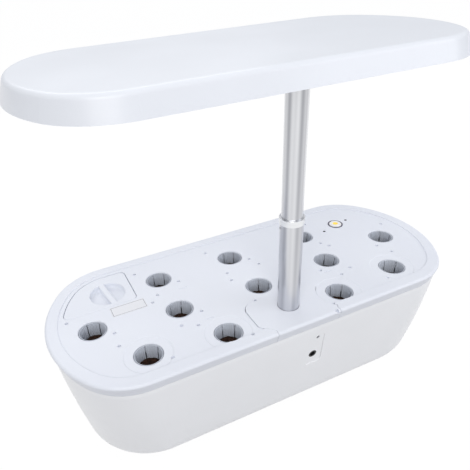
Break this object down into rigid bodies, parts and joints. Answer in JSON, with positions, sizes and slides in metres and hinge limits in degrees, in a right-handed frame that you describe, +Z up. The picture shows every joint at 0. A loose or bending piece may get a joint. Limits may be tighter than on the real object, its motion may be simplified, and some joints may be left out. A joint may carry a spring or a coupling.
{
  "type": "countertop hydroponic garden",
  "caption": "Long bowl-shaped water tank with a lift-off deck of pod baskets, a filler lid, a power button and a telescopic mast carrying a wide flat grow lamp.",
  "frame": {"origin": "centre of the deck outline, on the table plane, under the middle foot", "axes": "+X along the long side towards the power button end, +Y away from the mast side, +Z up"},
  "size_m": [0.416, 0.188, 0.3525],
  "materials": {
    "white_shell": "smooth moulded, softly glossy",
    "deck_white": "satin moulded",
    "tank_white": "smooth moulded",
    "basket_grey": "moulded",
    "steel": "fine drawn, polished",
    "collar_steel": "polished",
    "screw_steel": "plated",
    "inner_white": "moulded",
    "black_plastic": "moulded",
    "dark_ring": "smooth",
    "lens_dark": "smooth",
    "lens_grey": "smooth",
    "button_white": "glossy",
    "icon_amber": "lit, translucent",
    "rubber_grey": "matt",
    "rubber_clear": "translucent silicone",
    "label_white": "printed film, left blank",
    "board_green": "solder mask",
    "board_white": "white solder mask on aluminium",
    "chip_white": "phosphor",
    "chip_red": "phosphor",
    "driver_grey": "potted case"
  },
  "bodies": {
    "base": {"water_tank": "tank_white", "mast_housing": "deck_white", "mast_sleeve": "inner_white", "lower_tube": "steel", "mast_collar": "collar_steel", "collar_screw": "screw_steel", "port_panel": "tank_white", "dc_socket": "black_plastic", "sensor_lens": "lens_grey", "pump_body": "black_plastic", "pump_cover": "black_plastic", "pump_nozzle": "black_plastic", "suction_cup_1": "rubber_clear", "suction_cup_2": "rubber_clear", "suction_cup_3": "rubber_clear", "suction_cup_4": "rubber_clear", "rubber_foot_1": "rubber_grey", "rubber_foot_2": "rubber_grey", "rubber_foot_3": "rubber_grey", "rubber_foot_4": "rubber_grey", "rubber_foot_5": "rubber_grey"},
    "impeller": {"pump_impeller": "inner_white"},
    "deck": {"deck_cover": "deck_white", "button_bezel": "dark_ring", "indicator_left": "lens_dark", "indicator_right": "lens_dark", "control_box": "inner_white", "control_board": "board_green", "tact_switch": "black_plastic", "label_pad": "label_white"},
    "button": {"power_button": "button_white", "button_icon": "icon_amber"},
    "lid": {"filler_lid": "deck_white", "lid_seal": "rubber_clear"},
    "mast": {"upper_tube": "steel", "slide_bush": "inner_white", "mast_ferrule": "collar_steel"},
    "lamp_head": {"lamp_shell": "white_shell", "lamp_base": "inner_white", "led_board": "board_white", "led_chips_white": "chip_white", "led_chips_red": "chip_red", "lamp_driver": "driver_grey", "lamp_socket": "inner_white", "lamp_screw_1": "screw_steel", "lamp_screw_2": "screw_steel", "lamp_screw_3": "screw_steel", "lamp_screw_4": "screw_steel"},
    "basket_01": {"pod_basket_01": "basket_grey"},
    "basket_02": {"pod_basket_02": "basket_grey"},
    "basket_03": {"pod_basket_03": "basket_grey"},
    "basket_04": {"pod_basket_04": "basket_grey"},
    "basket_05": {"pod_basket_05": "basket_grey"},
    "basket_06": {"pod_basket_06": "basket_grey"},
    "basket_07": {"pod_basket_07": "basket_grey"},
    "basket_08": {"pod_basket_08": "basket_grey"},
    "basket_09": {"pod_basket_09": "basket_grey"},
    "basket_10": {"pod_basket_10": "basket_grey"},
    "basket_11": {"pod_basket_11": "basket_grey"},
    "basket_12": {"pod_basket_12": "basket_grey"}
  },
  "joints": [
    {"name": "mast_slide", "type": "slide", "parent": "base", "child": "mast", "axis": [0, 0, 1], "range_m": [-0.1, 0.04]},
    {"name": "lamp_swivel", "type": "hinge", "parent": "mast", "child": "lamp_head", "pos_m": [0.0055, -0.0587, 0.338], "axis": [0, 0, 1], "range_deg": [-90, 90]},
    {"name": "deck_lift", "type": "slide", "parent": "base", "child": "deck", "axis": [0, 0, 1], "range_m": [0, 0.03]},
    {"name": "button_press", "type": "slide", "parent": "deck", "child": "button", "axis": [0, 0, -1], "range_m": [0, 0.0009], "stiffness_N_per_m": 600, "springref_m": -0.001},
    {"name": "lid_lift", "type": "slide", "parent": "deck", "child": "lid", "axis": [0, 0, 1], "range_m": [0, 0.03]},
    {"name": "impeller_spin", "type": "hinge", "parent": "base", "child": "impeller", "pos_m": [0.056, 0.022, 0.02665], "axis": [1, 0, 0], "continuous": true},
    {"name": "basket_01_lift", "type": "slide", "parent": "deck", "child": "basket_01", "axis": [0, 0, 1], "range_m": [0, 0.055]},
    {"name": "basket_02_lift", "type": "slide", "parent": "deck", "child": "basket_02", "axis": [0, 0, 1], "range_m": [0, 0.055]},
    {"name": "basket_03_lift", "type": "slide", "parent": "deck", "child": "basket_03", "axis": [0, 0, 1], "range_m": [0, 0.055]},
    {"name": "basket_04_lift", "type": "slide", "parent": "deck", "child": "basket_04", "axis": [0, 0, 1], "range_m": [0, 0.055]},
    {"name": "basket_05_lift", "type": "slide", "parent": "deck", "child": "basket_05", "axis": [0, 0, 1], "range_m": [0, 0.055]},
    {"name": "basket_06_lift", "type": "slide", "parent": "deck", "child": "basket_06", "axis": [0, 0, 1], "range_m": [0, 0.055]},
    {"name": "basket_07_lift", "type": "slide", "parent": "deck", "child": "basket_07", "axis": [0, 0, 1], "range_m": [0, 0.055]},
    {"name": "basket_08_lift", "type": "slide", "parent": "deck", "child": "basket_08", "axis": [0, 0, 1], "range_m": [0, 0.055]},
    {"name": "basket_09_lift", "type": "slide", "parent": "deck", "child": "basket_09", "axis": [0, 0, 1], "range_m": [0, 0.055]},
    {"name": "basket_10_lift", "type": "slide", "parent": "deck", "child": "basket_10", "axis": [0, 0, 1], "range_m": [0, 0.055]},
    {"name": "basket_11_lift", "type": "slide", "parent": "deck", "child": "basket_11", "axis": [0, 0, 1], "range_m": [0, 0.055]},
    {"name": "basket_12_lift", "type": "slide", "parent": "deck", "child": "basket_12", "axis": [0, 0, 1], "range_m": [0, 0.055]}
  ]
}
